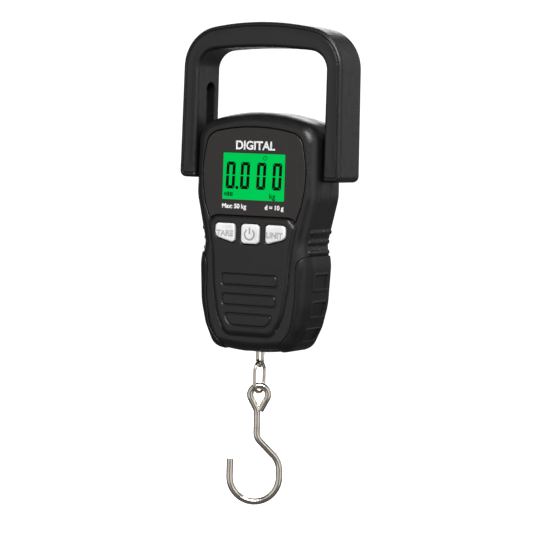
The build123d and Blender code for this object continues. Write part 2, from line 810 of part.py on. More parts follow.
cell_length = aaa_body + aaa_nub
for name, side, height in zip(("battery_upper", "battery_lower"), (1, -1), battery_heights):
    nub_end = tray_half_width - contact_thickness - contact_gap
    with BuildPart() as battery:
        with BuildSketch(Plane.YZ.offset(side * (nub_end - cell_length))):
            with Locations((battery_y, height)):
                Circle(aaa_radius)
        extrude(amount=side * aaa_body)
        fillet(battery.faces().filter_by(Axis.X).edges(), aaa_edge)
        with BuildSketch(Plane.YZ.offset(side * (nub_end - aaa_nub))):
            with Locations((battery_y, height)):
                Circle(aaa_nub_radius)
        extrude(amount=side * aaa_nub)
    finish(battery.part, name)

contact_x = tray_half_width - contact_thickness / 2 - contact_gap / 2
with BuildPart() as battery_contacts:
    with Locations((-contact_x, battery_y, sum(battery_heights) / 2)):
        Box(contact_thickness, contact_depth, contact_bridge)
    for height in battery_heights:
        with Locations((contact_x, battery_y, height)):
            Box(contact_thickness, contact_depth, contact_height)
finish(battery_contacts.part, "battery_contacts")

spring_room = 2 * tray_half_width - 2 * contact_thickness - cell_length - spring_gap
with BuildPart() as battery_springs:
    for side, height in ((-1, battery_heights[0]), (1, battery_heights[1])):
        start = side * (tray_half_width - contact_thickness - contact_gap - spring_wire)
        with BuildLine(Plane.XY):
            coil = Helix(
                pitch=spring_pitch,
                height=spring_room - 2 * spring_wire - spring_gap,
                radius=spring_radius,
                center=(start, battery_y, height),
                direction=(-side, 0, 0),
            )
        with BuildSketch(Plane(origin=coil @ 0, z_dir=coil % 0)):
            Circle(spring_wire)
        sweep(path=coil, is_frenet=True)
finish(battery_springs.part, "battery_springs")

with BuildPart() as battery_door:
    with BuildSketch(Plane.XZ.offset(-door_inner)):
        with Locations((0, (door_top + door_bottom) / 2)):
            RectangleRounded(2 * door_half_width, door_top - door_bottom, door_corner)
    extrude(amount=-(case_half_depth - door_inner))
    with BuildSketch(Plane.XZ.offset(-(case_half_depth - door_notch_depth))):
        with Locations((0, door_top - door_notch_drop)):
            SlotOverall(door_notch_width, door_notch_height)
    extrude(amount=-2 * door_notch_depth, mode=Mode.SUBTRACT)
finish(battery_door.part, "battery_door")

with BuildPart() as case_screws:
    for screw_x, screw_z in case_screw_places:
        with BuildSketch(Plane.XZ.offset(-(case_screw_seat + fit_gap))):
            with Locations((screw_x, screw_z)):
                Circle(case_head_radius)
        extrude(amount=-case_head_height)
        with BuildSketch(Plane.XZ.offset(-(case_screw_seat + fit_gap))):
            with Locations((screw_x, screw_z)):
                Circle(case_screw_radius)
        extrude(amount=case_screw_seat + case_screw_reach)
finish(case_screws.part, "case_screws")
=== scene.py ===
"""Digital fish scale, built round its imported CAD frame.

The moulded pieces are made here as smooth solids: each is a distance field worked out from its outline,
with its rounded edges, grooves, ribs and wells, and then meshed. Shapes are written in millimetres and
turned into metres when a mesh is made. +Z is up, the display faces -Y and +X is to the reader's right.
"""

from math import cos, pi, radians, sin, tan

import bmesh
import bpy
import numpy as np
from mathutils import Matrix, Vector


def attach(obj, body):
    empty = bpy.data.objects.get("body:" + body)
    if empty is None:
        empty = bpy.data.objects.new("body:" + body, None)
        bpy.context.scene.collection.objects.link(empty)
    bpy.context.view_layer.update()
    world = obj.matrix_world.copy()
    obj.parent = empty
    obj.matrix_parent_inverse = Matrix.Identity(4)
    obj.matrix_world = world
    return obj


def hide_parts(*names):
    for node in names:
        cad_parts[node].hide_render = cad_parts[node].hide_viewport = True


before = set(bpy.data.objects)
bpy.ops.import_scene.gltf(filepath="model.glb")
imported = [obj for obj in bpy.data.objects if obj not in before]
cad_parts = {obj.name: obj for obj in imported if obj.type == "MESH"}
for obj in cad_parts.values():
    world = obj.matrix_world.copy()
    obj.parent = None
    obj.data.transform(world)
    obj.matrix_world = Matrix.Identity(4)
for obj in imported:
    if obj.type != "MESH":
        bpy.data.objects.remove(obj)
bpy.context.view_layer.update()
MM = 0.001
SHARP_ANGLE = radians(75)
SHELL_STEP, WINDOW_STEP, KEY_STEP = 0.4, 0.3, 0.2


# ---------------------------------------------------------------- outlines


def rounded(points, radii, step=0.5):
    """Closed outline through the corner points, each turned by an arc of its own radius."""
    count = len(points)
    loop = []
    for index, radius in enumerate(radii):
        corner = np.array(points[index], float)
        before = np.array(points[index - 1], float) - corner
        after = np.array(points[(index + 1) % count], float) - corner
        before /= np.linalg.norm(before)
        after /= np.linalg.norm(after)
        half = np.arccos(np.clip(before @ after, -1, 1)) / 2
        if radius <= 0 or half > pi / 2 - 0.01:
            loop.append(corner)
            continue
        middle = (before + after) / np.linalg.norm(before + after)
        centre = corner + middle * radius / sin(half)
        start = corner + before * radius / tan(half) - centre
        end = corner + after * radius / tan(half) - centre
        turn = np.arctan2(start[0] * end[1] - start[1] * end[0], start @ end)
        pieces = max(3, int(abs(turn) * radius / step))
        for part in np.linspace(0, turn, pieces + 1):
            loop.append(centre + np.array([start[0] * cos(part) - start[1] * sin(part),
                                           start[0] * sin(part) + start[1] * cos(part)]))
    return np.array(loop)


def mirrored(half):
    """Whole outline and radii from its right half, given from the top middle to the bottom middle."""
    points = [(x, z) for x, z, _ in half]
    radii = [r for _, _, r in half]
    left = [(-x, z) for x, z in reversed(points) if x > 0.01]
    left_radii = [r for (x, _), r in zip(reversed(points), reversed(radii)) if x > 0.01]
    return points + left, radii + left_radii


def crown(half_width, end, middle, corner, lean=0.0):
    """Right half of an arc from middle, at x = 0, towards end, at half_width, turned by an arc into the side.

    The side leans out by this many degrees as it leaves the corner."""
    drop = middle - end
    up = np.sign(drop)
    radius = (half_width ** 2 + drop ** 2) / (2 * abs(drop))
    side = np.array([cos(radians(lean)), up * sin(radians(lean))])
    along = np.array([side[1], -side[0]])
    heart = np.array([0.0, middle - up * radius])
    base = np.array([half_width, end]) - side * corner - heart
    slide = np.roots([1.0, 2 * base @ along, base @ base - (radius - corner) ** 2]).real
    centre = heart + base + along * slide[np.argmin(np.abs(slide))]
    meet = np.arctan2(up * (centre - heart)[1], (centre - heart)[0])
    crest = [heart + radius * np.array([cos(a), up * sin(a)]) for a in np.linspace(pi / 2, meet, 14)[:-1]]
    turn = [centre + corner * np.array([cos(a), up * sin(a)]) for a in np.linspace(meet, radians(lean), 14)]
    return [(x, z, 0) for x, z in crest + turn]


def outline_field(loop, x, z):
    """Signed distance to a closed outline over a grid of x and z, negative inside."""
    px, pz = np.meshgrid(x, z, indexing="ij")
    nearest = np.full(px.shape, 1e9)
    inside = np.zeros(px.shape, bool)
    for (ax, az), (bx, bz) in zip(loop, np.roll(loop, -1, axis=0)):
        dx, dz = bx - ax, bz - az
        length = dx * dx + dz * dz
        if length < 1e-12:
            continue
        part = np.clip(((px - ax) * dx + (pz - az) * dz) / length, 0, 1)
        nearest = np.minimum(nearest, (px - ax - part * dx) ** 2 + (pz - az - part * dz) ** 2)
        if az != bz:
            crossing = ((az > pz) != (bz > pz)) & (px < dx * (pz - az) / dz + ax)
            inside ^= crossing
    return (np.sqrt(nearest) * np.where(inside, -1, 1)).astype(np.float32)


# ---------------------------------------------------------------- solid fields


class Grid:
    """A box of sample points, in millimetres."""

    def __init__(self, low, high, step):
        self.step = step
        self.low = np.array(low, float)
        self.x, self.y, self.z = (np.arange(a, b + step, step, dtype=np.float32) for a, b in zip(low, high))
        self.gx = self.x[:, None, None]
        self.gy = self.y[None, :, None]
        self.gz = self.z[None, None, :]

    def front(self, loop):
        """Field of an outline in X and Z, the same at every Y."""
        return outline_field(loop, self.x, self.z)[:, None, :]

    def side(self, loop):
        """Field of an outline in Y and Z, the same at every X."""
        return outline_field(loop, self.y, self.z)[None, :, :]


def join(a, b, blend=0.0):
    """Both solids, with a fillet of about this size where they meet."""
    if blend <= 0:
        return np.minimum(a, b)
    part = np.clip(0.5 + 0.5 * (b - a) / blend, 0, 1)
    return b + (a - b) * part - blend * part * (1 - part)


def common(a, b, blend=0.0):
    """What two solids share, with its new edges rounded."""
    return -join(-a, -b, blend)


def cut(a, b, blend=0.0):
    """The first solid without the second, with its new edges rounded."""
    return common(a, -b, blend)


def slab(outline, across, low, high, edge_x, edge_y=None):
    """Outline carried from low to high, its edges rounded to an ellipse of these two half-axes."""
    edge_y = edge_x if edge_y is None else edge_y
    over = (np.abs(across - (low + high) / 2) - (high - low) / 2 + edge_y) / edge_y
    out = (outline + edge_x) / edge_x
    beyond = np.sqrt(np.maximum(out, 0) ** 2 + np.maximum(over, 0) ** 2)
    corner = beyond + np.minimum(np.maximum(out, over), 0) - 1
    return corner * min(edge_x, edge_y)


def rod(a, b, radius):
    """Endless round bar, from two coordinates measured from its axis."""
    return np.sqrt(a ** 2 + b ** 2) - radius


# ---------------------------------------------------------------- meshing


def surface(field, grid):
    """Vertices and quads of the field's zero surface: one vertex in each cell that it crosses."""
    inside = field < 0
    wide, deep, tall = (count - 1 for count in inside.shape)
    counts = sum(
        inside[i:wide + i, j:deep + j, k:tall + k].astype(np.int8)
        for i in (0, 1) for j in (0, 1) for k in (0, 1)
    )
    crossed = np.argwhere((counts > 0) & (counts < 8))
    index = np.full(counts.shape, -1, np.int32)
    index[tuple(crossed.T)] = np.arange(len(crossed))
    corners = np.array([(i, j, k) for i in (0, 1) for j in (0, 1) for k in (0, 1)])
    values = np.stack([field[tuple((crossed + c).T)] for c in corners], axis=1)
    total = np.zeros((len(crossed), 3))
    hits = np.zeros(len(crossed))
    for a in range(8):
        for b in range(a + 1, 8):
            if np.abs(corners[a] - corners[b]).sum() != 1:
                continue
            change = (values[:, a] < 0) != (values[:, b] < 0)
            gap = np.where(change, values[:, a] - values[:, b], 1)
            part = np.where(change, values[:, a] / gap, 0)
            total += np.where(change[:, None], corners[a] + part[:, None] * (corners[b] - corners[a]), 0)
            hits += change
    verts = grid.low + (crossed + total / hits[:, None]) * grid.step
    quads = []
    for axis in range(3):
        near = np.take(inside, range(inside.shape[axis] - 1), axis)
        far = np.take(inside, range(1, inside.shape[axis]), axis)
        edge = np.argwhere(near != far)
        u, v = [(1, 2), (2, 0), (0, 1)][axis]
        edge = edge[(edge[:, u] > 0) & (edge[:, v] > 0)]
        edge = edge[(edge[:, u] < index.shape[u]) & (edge[:, v] < index.shape[v])]
        ring = []
        for du, dv in ((1, 1), (0, 1), (0, 0), (1, 0)):
            cell = edge.copy()
            cell[:, u] -= du
            cell[:, v] -= dv
            ring.append(index[tuple(cell.T)])
        ring = np.stack(ring, axis=1)
        outward = near[tuple(edge.T)]
        quads.append(np.where(outward[:, None], ring, ring[:, ::-1]))
    return verts, np.concatenate(quads)


def add_mesh(name, verts, faces, material, smooth=True):
    """Object from vertices in millimetres."""
    mesh = bpy.data.meshes.new(name)
    mesh.from_pydata((np.asarray(verts) * MM).tolist(), [], np.asarray(faces).tolist()
                     if isinstance(faces, np.ndarray) else faces)
    mesh.polygons.foreach_set("use_smooth", [smooth] * len(mesh.polygons))
    mesh.materials.append(material)
    mesh.update()
    if smooth:
        mesh.set_sharp_from_angle(angle=SHARP_ANGLE)
    piece = bpy.data.objects.new(name, mesh)
    bpy.context.scene.collection.objects.link(piece)
    return piece


def moulded(name, field, grid, material, body, slot, *nodes):
    """Meshes a field, rides it on its body and stands it for its CAD nodes."""
    verts, quads = surface(field, grid)
    piece = add_mesh(name, verts, quads, material)
    place(piece, body, slot, *nodes)
    return piece


def place(piece, body, slot, *nodes):
    """Rides a piece on a body and hides the CAD nodes that it stands for. The finish name it is given is not
    used.
    """
    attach(piece, body)
    if nodes:
        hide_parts(*nodes)
    return piece


def plate(name, loop, front, back, material):
    """Flat plate with this outline, facing -Y."""
    shell = bmesh.new()
    back_ring = [shell.verts.new((x * MM, back * MM, z * MM)) for x, z in loop]
    front_ring = [shell.verts.new((x * MM, front * MM, z * MM)) for x, z in loop]
    shell.faces.new(back_ring)
    shell.faces.new(list(reversed(front_ring)))
    count = len(loop)
    for index in range(count):
        after = (index + 1) % count
        shell.faces.new((back_ring[after], back_ring[index], front_ring[index], front_ring[after]))
    bmesh.ops.recalc_face_normals(shell, faces=shell.faces)
    bmesh.ops.triangulate(shell, faces=[f for f in shell.faces if len(f.verts) > 4])
    mesh = bpy.data.meshes.new(name)
    shell.to_mesh(mesh)
    shell.free()
    mesh.materials.append(material)
    piece = bpy.data.objects.new(name, mesh)
    bpy.context.scene.collection.objects.link(piece)
    return piece


# ---------------------------------------------------------------- materials


def material(name, colour, roughness, metallic=0.0, coat=0.0, coat_roughness=0.1, specular=0.5):
    """Principled material and its node tools."""
    made = bpy.data.materials.new(name)
    made.use_nodes = True
    nodes = made.node_tree.nodes
    shader = nodes["Principled BSDF"]
    shader.inputs["Base Color"].default_value = (*colour, 1)
    shader.inputs["Roughness"].default_value = roughness
    shader.inputs["Metallic"].default_value = metallic
    shader.inputs["Coat Weight"].default_value = coat
    shader.inputs["Coat Roughness"].default_value = coat_roughness
    shader.inputs["Specular IOR Level"].default_value = specular
    return made


def noise(made, scale, detail=4.0, stretch=(1, 1, 1)):
    """Noise texture over the object's own place, with this many bumps to a metre."""
    nodes, links = made.node_tree.nodes, made.node_tree.links
    where = nodes.new("ShaderNodeTexCoord")
    spread = nodes.new("ShaderNodeMapping")
    spread.inputs["Scale"].default_value = stretch
    pattern = nodes.new("ShaderNodeTexNoise")
    pattern.inputs["Scale"].default_value = scale
    pattern.inputs["Detail"].default_value = detail
    links.new(where.outputs["Object"], spread.inputs["Vector"])
    links.new(spread.outputs["Vector"], pattern.inputs["Vector"])
    return pattern


def vary(made, pattern, socket, low, high):
    """Drives a shader value between low and high by a pattern."""
    nodes, links = made.node_tree.nodes, made.node_tree.links
    spread = nodes.new("ShaderNodeMapRange")
    spread.inputs["From Min"].default_value = 0.3
    spread.inputs["From Max"].default_value = 0.7
    spread.inputs["To Min"].default_value = low
    spread.inputs["To Max"].default_value = high
    links.new(pattern.outputs["Fac"], spread.inputs["Value"])
    links.new(spread.outputs["Result"], nodes["Principled BSDF"].inputs[socket])


def tint(made, pattern, dark, light):
    """Drives the base colour between two colours by a pattern."""
    nodes, links = made.node_tree.nodes, made.node_tree.links
    ramp = nodes.new("ShaderNodeValToRGB")
    ramp.color_ramp.elements[0].position = 0.3
    ramp.color_ramp.elements[0].color = (*dark, 1)
    ramp.color_ramp.elements[1].position = 0.7
    ramp.color_ramp.elements[1].color = (*light, 1)
    links.new(pattern.outputs["Fac"], ramp.inputs["Fac"])
    links.new(ramp.outputs["Color"], nodes["Principled BSDF"].inputs["Base Color"])


def emboss(made, pattern, strength, depth):
    """Small surface relief from a pattern, this many millimetres deep."""
    nodes, links = made.node_tree.nodes, made.node_tree.links
    bump = nodes.new("ShaderNodeBump")
    bump.inputs["Strength"].default_value = strength
    bump.inputs["Distance"].default_value = depth * MM
    links.new(pattern.outputs["Fac"], bump.inputs["Height"])
    links.new(bump.outputs["Normal"], nodes["Principled BSDF"].inputs["Normal"])


def moulded_plastic(name, colour, roughness, grain_depth=0.02, coat=0.0, specular=0.5):
    """Moulded plastic: fine spark-eroded grain, slightly uneven sheen and colour."""
    made = material(name, colour, roughness, coat=coat, specular=specular)
    tint(made, noise(made, 90, 3), [c * 0.88 for c in colour], [c * 1.12 for c in colour])
    vary(made, noise(made, 220, 4), "Roughness", roughness - 0.05, roughness + 0.06)
    emboss(made, noise(made, 3800, 3), 0.35, grain_depth)
    return made


def metal(name, colour, roughness, stretch=(1, 1, 1)):
    """Plated or milled metal with faint uneven tone and fine marks."""
    made = material(name, colour, roughness, metallic=1.0)
    tint(made, noise(made, 160, 5, stretch), [c * 0.82 for c in colour], [min(1, c * 1.08) for c in colour])
    vary(made, noise(made, 700, 5, stretch), "Roughness", roughness * 0.75, roughness * 1.5)
    emboss(made, noise(made, 1500, 2, stretch), 0.06, 0.02)
    return made


black = moulded_plastic("black_plastic", (0.0075, 0.0072, 0.0078), 0.36)
handle_black = moulded_plastic("handle_plastic", (0.0085, 0.008, 0.008), 0.36)
grip_black = moulded_plastic("grip_rubber", (0.006, 0.0058, 0.007), 0.42, 0.02, specular=0.38)
lens_black = moulded_plastic("window_print", (0.017, 0.0135, 0.0125), 0.4, 0.003)
key_white = moulded_plastic("key_plastic", (0.87, 0.87, 0.865), 0.35, 0.008, coat=0.2)
ink_white = moulded_plastic("white_print", (0.89, 0.89, 0.89), 0.5, 0.004)
ink_grey = moulded_plastic("grey_print", (0.36, 0.36, 0.36), 0.55, 0.004)
ink_black = moulded_plastic("segment_ink", (0.002, 0.003, 0.002), 0.8, 0.002, specular=0.05)
ink_faint = moulded_plastic("faint_segment", (0.002, 0.03, 0.01), 0.8, 0.002, specular=0.05)
nickel = metal("nickel_wire", (0.84, 0.77, 0.68), 0.14)
zinc = metal("zinc_steel", (0.58, 0.58, 0.57), 0.3)
aluminium = metal("milled_aluminium", (0.72, 0.72, 0.74), 0.35, (1, 1, 8))
board_green = moulded_plastic("solder_mask", (0.02, 0.13, 0.05), 0.35, 0.01)
epoxy = moulded_plastic("epoxy", (0.02, 0.02, 0.02), 0.5)
frame_white = moulded_plastic("frame_plastic", (0.7, 0.7, 0.68), 0.45)
foil = moulded_plastic("gauge_foil", (0.5, 0.3, 0.08), 0.35, 0.005)
sleeve = moulded_plastic("battery_sleeve", (0.1, 0.1, 0.11), 0.25, 0.002, coat=0.5)

lcd_green = material("lcd_green", (0.0, 0.05, 0.01), 0.5, specular=0.0)
glow = lcd_green.node_tree.nodes["Principled BSDF"]
glow.inputs["Emission Strength"].default_value = 1.0
glow.inputs["Emission Color"].default_value = (0.0, 0.56, 0.085, 1)
tint(lcd_green, noise(lcd_green, 60, 2), (0.0, 0.02, 0.003), (0.0, 0.05, 0.01))


# ---------------------------------------------------------------- the case's shape

CASE_FRONT, CASE_BACK = -17.9, 17.9
CASE_EDGE_X, CASE_EDGE_Y = 7.0, 9.0
TONGUE_FACE, TONGUE_ROOT = -19.7, -8
TONGUE_EDGE_X, TONGUE_EDGE_Y = 3.0, 1.5
MOAT_OFFSET, MOAT_HALF_WIDTH, MOAT_DEPTH, MOAT_END = 0.5, 0.2, 0.4, -158.0
GROOVE_HALF_WIDTH, GROOVE_DEPTH = 0.3, 0.6
LENS_BACK = -16.2
LENS_GAP = 0.3
# each shell runs this far past mid depth, inside its neighbour
SEAM = 1.0
RIB_HEIGHTS = (-103.2, -108.6, -114.0)
RIB_RISE, RIB_HALF_HEIGHT, RIB_INNER_END, RIB_HALF_LENGTH = 1.0, 1.25, 27.5, 12.5
GRIP_BED = 1.2
GRIP_RISE, GRIP_THICKNESS = 0.6, 1.5
GRIP_PADS = ((-126.3, -135.3), (-141.8, -150.4), (-156.8, -164.0))
PAD_FRONT, PAD_BACK, PAD_DEPTH, PAD_INNER_END = -8.2, 8.6, 0.8, 20
RIM_HALF_WIDTH, RIM_RISE, RIM_INSET = 0.45, 1.2, 0.4
STUD_Y, STUD_Z, STUD_HOLE = 2.3, -64.3, 4.4
CHAIN_Y, CHAIN_HOLE, CHAIN_HOLE_TOP = -3.7, 8.0, -154.0
KEY_GAP, KEY_WELL_FLOOR = 0.5, -13.5
KEY_FACE, KEY_BACK = -20.6, -15.5
DOOR_FLOOR, TRAY_FLOOR, LABEL_FLOOR = 15.7, 3.2, 17.5
SCREW_WELLS = ((-28.5, -52.5), (28.5, -52.5), (-20.5, -158.0), (20.5, -158.0))
SCREW_WELL_RADIUS, SCREW_WELL_FLOOR = 2.7, 8.0


def block(half_width, top, bottom, corner):
    """Outline of a rectangle about x = 0 with rounded corners."""
    points = [(-half_width, top), (half_width, top), (half_width, bottom), (-half_width, bottom)]
    return rounded(points, [corner] * 4)


case_loop = rounded(*mirrored(
    crown(37.8, -45.5, -37.4, 13, 1.2)
    + [(38.6, -84.0, 24), (32.6, -110.0, 12), (34.4, -122.0, 24), (33.2, -144.0, 40), (30.2, -156.5, 20)]
    + list(reversed(crown(24.6, -168.6, -171.2, 8, 24)))
))
lens_loop = rounded(*mirrored(
    crown(29.1, -50.0, -46.0, 9, 10.6)
    + [(33.2, -72.0, 60), (29.8, -89.5, 20), (26.6, -97.8, 0.5), (25.2, -96.0, 2.0), (21.5, -95.2, 6),
       (0, -95.2, 0)]
))
tongue_loop = rounded(*mirrored([
    (0, -95.5, 0), (22.8, -95.5, 3.5), (27.2, -100.2, 3.5), (24.2, -117.0, 24), (23.2, -134.0, 40),
    (20.2, -151.0, 24), (14.6, -161.3, 6), (0, -161.3, 0),
]))
grip_loop = rounded([(27.6, -115.8), (45, -115.8), (45, -175), (17.8, -175), (17.8, -167.0), (25.4, -158.5),
                     (27.8, -140.0)], [8, 0, 0, 0, 3, 12, 30])
KEY_TOP, KEY_BOTTOM = -99.6, -110.5
power_loop = block(5.6, KEY_TOP, KEY_BOTTOM, 2.2)
outer_key_loop = rounded([(9.75, KEY_TOP), (21.95, KEY_TOP), (21.95, KEY_BOTTOM + 3.4), (9.75, KEY_BOTTOM)],
                         [1.8, 2.2, 3.4, 1.8])
groove_loops = [
    block(17.2, -127.7, -134.0, 1.6),
    rounded([(-17.0, -138.9), (17.0, -138.9), (16.4, -145.0), (-16.4, -145.0)], [1.6] * 4),
    rounded([(-14.9, -149.8), (14.9, -149.8), (12.5, -156.4), (-12.5, -156.4)], [1.2, 1.2, 6.0, 6.0]),
]


def flip(loop):
    """Outline mirrored left to right."""
    return loop * (-1, 1)


def case_solid(grid, outset=0.0):
    """Whole case with its softly rounded front, sides and back."""
    outline = grid.front(case_loop) - outset
    return slab(outline, grid.gy, CASE_FRONT - outset, CASE_BACK + outset,
                CASE_EDGE_X, CASE_EDGE_Y)


def rib_bars(grid, solid):
    """Three short ribs on each side of the waist."""
    bars = None
    for height in RIB_HEIGHTS:
        bar = common(solid - RIB_RISE, np.abs(grid.gz - height) - RIB_HALF_HEIGHT, 1.0)
        bars = bar if bars is None else join(bars, bar)
    bars = common(bars, RIB_INNER_END - np.abs(grid.gx), 1.0)
    return common(bars, np.abs(grid.gy) - RIB_HALF_LENGTH, 1.5)


def grip_zone(grid):
    """Field of the two lower side areas under the soft grips."""
    return join(grid.front(grip_loop), grid.front(flip(grip_loop)))


def side_wells(grid, solid):
    """Holes that both shells share: the two studs' holes and the chain's hole."""
    solid = cut(solid, rod(grid.gy - STUD_Y, grid.gz - STUD_Z, STUD_HOLE), 0.3)
    chain_hole = np.maximum(rod(grid.gx, grid.gy - CHAIN_Y, CHAIN_HOLE), grid.gz - CHAIN_HOLE_TOP)
    return cut(solid, chain_hole, 0.8)


def make_front_case():
    grid = Grid((-40, -20.5, -172.5), (40, 1.5, -36), SHELL_STEP)
    solid = case_solid(grid)
    tongue = grid.front(tongue_loop)
    panel = slab(tongue, grid.gy, TONGUE_FACE, TONGUE_ROOT, TONGUE_EDGE_X, TONGUE_EDGE_Y)
    solid = join(solid, panel, 0.9)
    moat = slab(np.abs(tongue - MOAT_OFFSET) - MOAT_HALF_WIDTH, grid.gy, TONGUE_FACE - 2,
                CASE_FRONT + MOAT_DEPTH, MOAT_HALF_WIDTH)
    solid = cut(solid, np.maximum(moat, -(grid.gz - MOAT_END)), 0.3)
    solid = join(solid, rib_bars(grid, case_solid(grid)), 0.5)
    solid = cut(solid, np.maximum(grip_zone(grid), -(case_solid(grid) + GRIP_BED)), 0.2)
    lens = grid.front(lens_loop)
    solid = cut(solid, np.maximum(lens - LENS_GAP, grid.gy - LENS_BACK), 0.35)
    for loop in (power_loop, outer_key_loop, flip(outer_key_loop)):
        key = grid.front(loop)
        solid = cut(solid, np.maximum(key - KEY_GAP, grid.gy - KEY_WELL_FLOOR), 0.5)
    for loop in groove_loops:
        ring = np.abs(grid.front(loop)) - GROOVE_HALF_WIDTH
        groove = slab(ring, grid.gy, TONGUE_FACE - 2, TONGUE_FACE + GROOVE_DEPTH, 0.2)
        solid = cut(solid, groove, 0.1)
    solid = side_wells(grid, solid)
    solid = np.maximum(solid, grid.gy - SEAM)
    moulded("front_shell", solid, grid, black, "case_body", "case_plastic", "front_case")


def make_rear_case():
    grid = Grid((-40, -1.5, -172.5), (40, 19.5, -36), SHELL_STEP)
    solid = join(case_solid(grid), rib_bars(grid, case_solid(grid)), 0.5)
    solid = cut(solid, np.maximum(grip_zone(grid), -(case_solid(grid) + GRIP_BED)), 0.2)
    door = block(25.4, -119.0, -148.2, 2.5)
    tray = block(24.8, -121.2, -146.0, 1.0)
    label = block(24.0, -66.0, -100.0, 3.0)
    for loop, floor in ((door, DOOR_FLOOR), (tray, TRAY_FLOOR), (label, LABEL_FLOOR)):
        solid = cut(solid, np.maximum(grid.front(loop), floor - grid.gy), 0.3)
    for place_x, place_z in SCREW_WELLS:
        bore = rod(grid.gx - place_x, grid.gz - place_z, SCREW_WELL_RADIUS)
        solid = cut(solid, np.maximum(bore, SCREW_WELL_FLOOR - grid.gy), 0.5)
    solid = side_wells(grid, solid)
    solid = np.maximum(solid, SEAM - grid.gy)
    moulded("rear_shell", solid, grid, black, "case_body", "case_plastic", "rear_case")


def make_grips():
    """Soft inserts that stand a little proud, each with three sunken pads inside raised rims."""
    for side, word in ((1, "right"), (-1, "left")):
        low_x, high_x = (15.0, 42.0) if side > 0 else (-42.0, -15.0)
        grid = Grid((low_x, -20.0, -173.0), (high_x, 20.0, -116.0), SHELL_STEP)
        loop = grip_loop if side > 0 else flip(grip_loop)
        skin = case_solid(grid, GRIP_RISE)
        solid = common(skin, grid.front(loop), 0.8)
        solid = cut(solid, case_solid(grid) + GRIP_THICKNESS)
        inner_end = PAD_INNER_END - side * grid.gx
        for top, bottom in GRIP_PADS:
            pad = rounded([(PAD_FRONT, top), (PAD_BACK, top), (PAD_BACK, bottom), (PAD_FRONT, bottom)],
                          [0.8] * 4)
            pad_field = grid.side(pad)
            floor = -(skin + PAD_DEPTH)
            rim = np.maximum(np.abs(pad_field) - RIM_HALF_WIDTH, case_solid(grid, RIM_RISE))
            rim = np.maximum(rim, np.maximum(floor, inner_end))
            solid = join(solid, rim, 0.3)
            solid = cut(solid, np.maximum(np.maximum(pad_field, floor) + RIM_INSET, inner_end), 0.3)
        moulded(f"soft_grip_{word}", solid, grid, grip_black, "case_body", "grip_rubber", f"side_grip_{word}")


# ---------------------------------------------------------------- the handle


HANDLE_HALF_WIDTH, HANDLE_CROWN_END, HANDLE_TOP, HANDLE_CORNER, HANDLE_LEAN = 49.5, 5.0, 12.5, 23, 0.8
FOOT_HALF_WIDTH, FOOT_BOTTOM, FOOT_CORNER = 50.6, -75.0, 3.5
FINGER_HALF_WIDTH, ARCH_END, ARCH_TOP, FINGER_CORNER = 40.0, -4.2, -1.5, 11
HANDLE_HALF_DEPTH, HANDLE_EDGE = 13, 2.2
BEAD_INSET, BEAD_GROOVE_HALF_WIDTH, BEAD_GROOVE_FLOOR, BEAD_END = 2.3, 0.25, -12.1, -72.5
DISH_INSET, DISH_Y, DISH_RADIUS = 5.4, -20.2, 7.6
SLOT_FRONT, SLOT_BACK, SLOT_TOP, SLOT_BOTTOM, SLOT_FLOOR = -2.5, 7.1, -21.5, -70.7, 45.4
SLOT_CORNER = 4.79


def make_handle():
    """U-shaped handle with a blind slot inside each leg."""
    arch = crown(HANDLE_HALF_WIDTH, HANDLE_CROWN_END, HANDLE_TOP, HANDLE_CORNER, HANDLE_LEAN)
    outer = rounded(*mirrored(arch + [(FOOT_HALF_WIDTH, FOOT_BOTTOM, FOOT_CORNER), (0, FOOT_BOTTOM, 0)]))
    arch = crown(FINGER_HALF_WIDTH, ARCH_END, ARCH_TOP, FINGER_CORNER)
    inner = rounded(*mirrored(arch + [(FINGER_HALF_WIDTH, -90.0, 0), (0, -90.0, 0)]))
    grid = Grid((-51, -14, -76.5), (51, 14, 14), SHELL_STEP)
    outer_field = grid.front(outer)
    section = np.maximum(outer_field, -grid.front(inner))
    solid = slab(section, grid.gy, -HANDLE_HALF_DEPTH, HANDLE_HALF_DEPTH, HANDLE_EDGE, HANDLE_EDGE)
    # the front's outer edge stands as a narrow bead beyond a fine groove, and the face inside it is dished
    ring = np.abs(outer_field + BEAD_INSET) - BEAD_GROOVE_HALF_WIDTH
    groove = slab(ring, grid.gy, -20, BEAD_GROOVE_FLOOR, BEAD_GROOVE_HALF_WIDTH)
    dish = rod(outer_field + DISH_INSET, grid.gy - DISH_Y, DISH_RADIUS)
    for hollow, blend in ((groove, 0.3), (dish, 0.6)):
        solid = cut(solid, np.maximum(hollow, -(grid.gz - BEAD_END)), blend)
    slot = rounded([(SLOT_FRONT, SLOT_TOP), (SLOT_BACK, SLOT_TOP), (SLOT_BACK, SLOT_BOTTOM),
                    (SLOT_FRONT, SLOT_BOTTOM)], [SLOT_CORNER] * 4)
    for side in (-1, 1):
        reach = np.maximum(grid.side(slot), side * grid.gx - SLOT_FLOOR)
        solid = cut(solid, np.maximum(reach, 30 - side * grid.gx), 0.35)
    moulded("handle_shell", solid, grid, handle_black, "handle_body", "case_plastic", "handle")


# ---------------------------------------------------------------- window, display and keys


PRINT_RISE = 0.07
PRINT_THICKNESS = 0.05
LETTER_HALF_THICKNESS = 0.02
PANEL_FRONT, PANEL_BACK = CASE_FRONT + 0.35, CASE_FRONT + 1.2
DIGIT_LEFTS = (-17.4, -8.3, 1.9, 11.8)
DIGIT_TOP, DIGIT_WIDTH, DIGIT_HEIGHT, DIGIT_STROKE, DIGIT_LEAN = -65.4, 5.7, 15.0, 1.85, 0.03
SEGMENT_GAP, SEGMENT_INSET = 0.3, 0.35
BATTERY_TOP, BATTERY_BOTTOM = -82.2, -84.6


